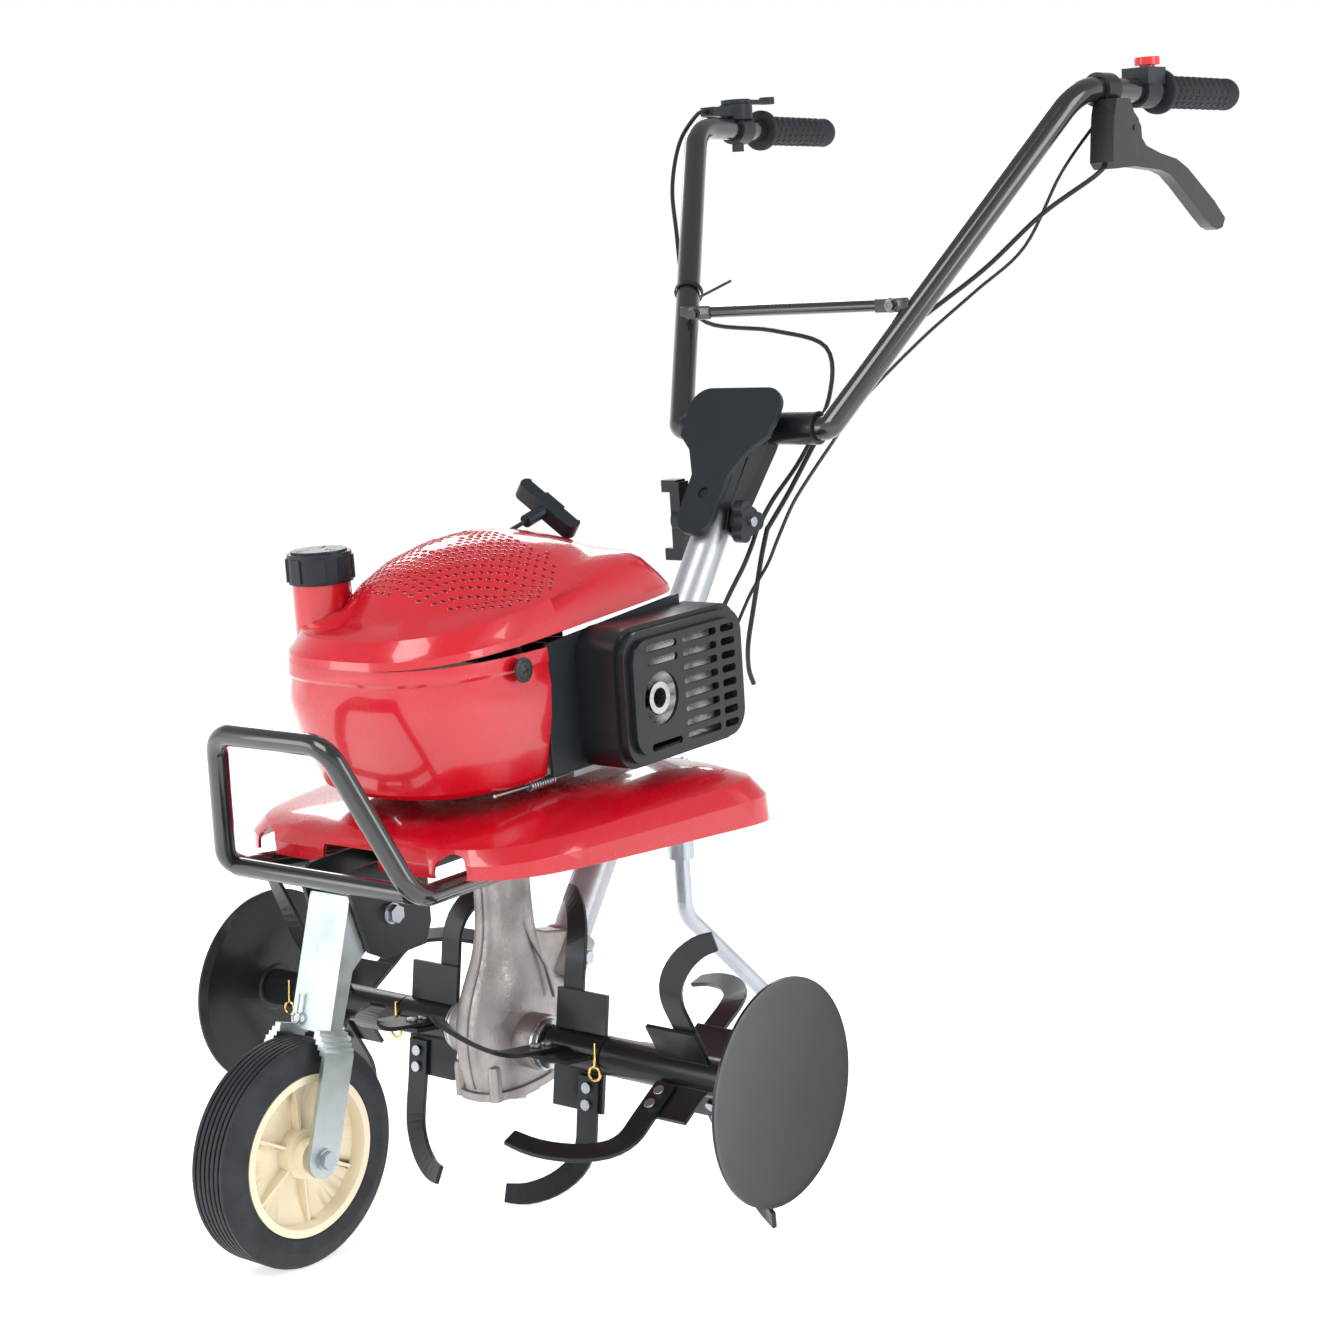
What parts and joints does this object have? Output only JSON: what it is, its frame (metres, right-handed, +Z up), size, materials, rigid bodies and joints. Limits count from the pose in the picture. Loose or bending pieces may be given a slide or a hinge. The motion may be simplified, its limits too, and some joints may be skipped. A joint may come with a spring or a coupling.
{
  "type": "front-wheel mini tiller",
  "caption": "Petrol garden tiller with a red engine over a deck, curved rotating tines, side discs, front transport wheel and tall handlebars.",
  "frame": {"origin": "centre of the machine's footprint at ground level", "axes": "+X to the machine's left, +Y from the front wheel towards the grips, +Z up; the body leans 6 degrees nose-down as it stands on its wheel, tines and drag bar"},
  "size_m": [0.61, 1.2381, 1.0655],
  "materials": {
    "black_gloss_tube": "gloss black enamel",
    "black_plastic": "fine-grained black moulding",
    "black_rubber": "moulded rubber",
    "black_steel": "satin black enamel",
    "bolt_zinc": "zinc plating",
    "brass_wire": "yellow-passivated spring wire",
    "bronze": "machined bronze",
    "cable_black": "black cable sleeve",
    "cast_aluminium": "as-cast, matt and slightly grained",
    "deck_paint": "gloss red paint on pressed steel",
    "iron": "cast iron",
    "machined_aluminium": "machined, satin",
    "red_knob": "gloss red moulding",
    "red_paint": "deep gloss, moulded and painted red",
    "rim_plastic": "cream moulding, slight sheen",
    "silver_tube": "silver paint, satin",
    "steel": "machined steel",
    "tyre_rubber": "black rubber with tread grooves",
    "zinc_steel": "bright zinc plating"
  },
  "bodies": {
    "chassis": {"gearcase": "cast_aluminium", "gearcase_cover": "machined_aluminium", "shaft_seals": "bolt_zinc", "body_bolts": "bolt_zinc", "deck": "deck_paint", "column": "silver_tube", "clutch_housing": "cast_aluminium", "engine_block": "iron", "engine_shroud": "red_paint", "top_cover": "red_paint", "side_cover": "black_plastic", "muffler": "steel", "muffler_guard": "black_plastic", "fuel_tank": "red_paint", "air_cleaner": "black_plastic", "governor_linkage": "zinc_steel", "wheel_bracket": "black_steel", "lift_bar": "black_gloss_tube", "drag_holder": "zinc_steel", "lower_cables": "cable_black"},
    "crank": {"crankshaft": "steel", "flywheel": "iron", "clutch_shoes": "steel"},
    "worm": {"worm_shaft": "steel"},
    "tines": {"tine_shaft": "steel", "worm_gear": "bronze", "inner_holders": "black_steel", "outer_holders": "black_steel", "inner_tines": "black_steel", "outer_tines": "black_steel", "side_discs": "black_steel", "tine_bolts": "black_steel", "hairpins": "brass_wire"},
    "fork": {"wheel_fork": "zinc_steel", "fork_hardware": "zinc_steel"},
    "wheel": {"wheel_rim": "rim_plastic", "wheel_tyre": "tyre_rubber"},
    "prop": {"drag_bar": "zinc_steel"},
    "handles": {"handle_bracket": "black_steel", "shield_cover": "black_plastic", "clamp_bolt": "bolt_zinc", "handlebar_left": "black_gloss_tube", "handlebar_right": "black_gloss_tube", "brace": "black_gloss_tube", "grip_left": "black_rubber", "grip_right": "black_rubber", "throttle_housing": "black_plastic", "switch_housing": "black_plastic", "clutch_bracket": "black_steel", "throttle_cable": "cable_black", "clutch_cable": "cable_black", "switch_wire": "cable_black", "cable_tie": "black_plastic"},
    "lobed_knob": {"clamp_knob": "black_plastic"},
    "winged_knob": {"wing_knob": "black_plastic"},
    "throttle": {"throttle_lever": "black_plastic"},
    "clutch": {"clutch_lever": "black_steel"},
    "button": {"stop_button": "red_knob"},
    "cap": {"fuel_cap": "black_plastic"},
    "starter": {"starter_handle": "black_plastic"}
  },
  "joints": [
    {"name": "fork_fold", "type": "hinge", "parent": "chassis", "child": "fork", "pos_m": [0, -0.43755, 0.27814], "axis": [1, 0, 0], "range_deg": [-40, 0]},
    {"name": "wheel_spin", "type": "hinge", "parent": "fork", "child": "wheel", "pos_m": [0, -0.52376, 0.09201], "axis": [1, 0, 0], "continuous": true},
    {"name": "tine_spin", "type": "hinge", "parent": "chassis", "child": "tines", "pos_m": [0, -0.266, 0.1365], "axis": [1, 0, 0], "continuous": true},
    {"name": "worm_spin", "type": "hinge", "parent": "chassis", "child": "worm", "pos_m": [0, -0.2496, 0.23877], "axis": [0, -0.1045, 0.9945], "continuous": true},
    {"name": "crank_spin", "type": "hinge", "parent": "chassis", "child": "crank", "pos_m": [0, -0.27051, 0.43768], "axis": [0, -0.1045, 0.9945], "continuous": true},
    {"name": "drag_bar_height", "type": "slide", "parent": "chassis", "child": "prop", "axis": [0, -0.1045, 0.9945], "range_m": [0, 0.035]},
    {"name": "handle_tilt", "type": "hinge", "parent": "chassis", "child": "handles", "pos_m": [0, 0.04496, 0.58776], "axis": [1, 0, 0], "range_deg": [-12, 10]},
    {"name": "clamp_knob_turn", "type": "hinge", "parent": "handles", "child": "lobed_knob", "pos_m": [0.035, 0.04496, 0.58776], "axis": [1, 0, 0], "range_deg": [-180, 180]},
    {"name": "wing_knob_turn", "type": "hinge", "parent": "handles", "child": "winged_knob", "pos_m": [-0.035, 0.04496, 0.58776], "axis": [-1, 0, 0], "range_deg": [-180, 180]},
    {"name": "throttle_set", "type": "hinge", "parent": "handles", "child": "throttle", "pos_m": [-0.249, 0.41397, 1.05259], "axis": [0, -0.1045, 0.9945], "range_deg": [-50, 0]},
    {"name": "clutch_squeeze", "type": "hinge", "parent": "handles", "child": "clutch", "pos_m": [0.256, 0.39234, 0.98094], "axis": [1, 0, 0], "range_deg": [0, 24], "stiffness_Nm_per_rad": 1, "springref_deg": -17.19},
    {"name": "stop_press", "type": "slide", "parent": "handles", "child": "button", "axis": [0, 0.1045, -0.9945], "range_m": [0, 0.0025], "stiffness_N_per_m": 400, "springref_m": -0.002},
    {"name": "cap_turn", "type": "hinge", "parent": "chassis", "child": "cap", "pos_m": [-0.078, -0.4104, 0.55369], "axis": [0, -0.1045, 0.9945], "range_deg": [0, 90]},
    {"name": "starter_pull", "type": "slide", "parent": "chassis", "child": "starter", "axis": [0, 0.9411, 0.3381], "range_m": [0, 0.04], "stiffness_N_per_m": 60, "springref_m": -0.05}
  ],
  "couplings": [
    {"joint": "worm_spin", "follows": "tine_spin", "ratio": -32}
  ]
}
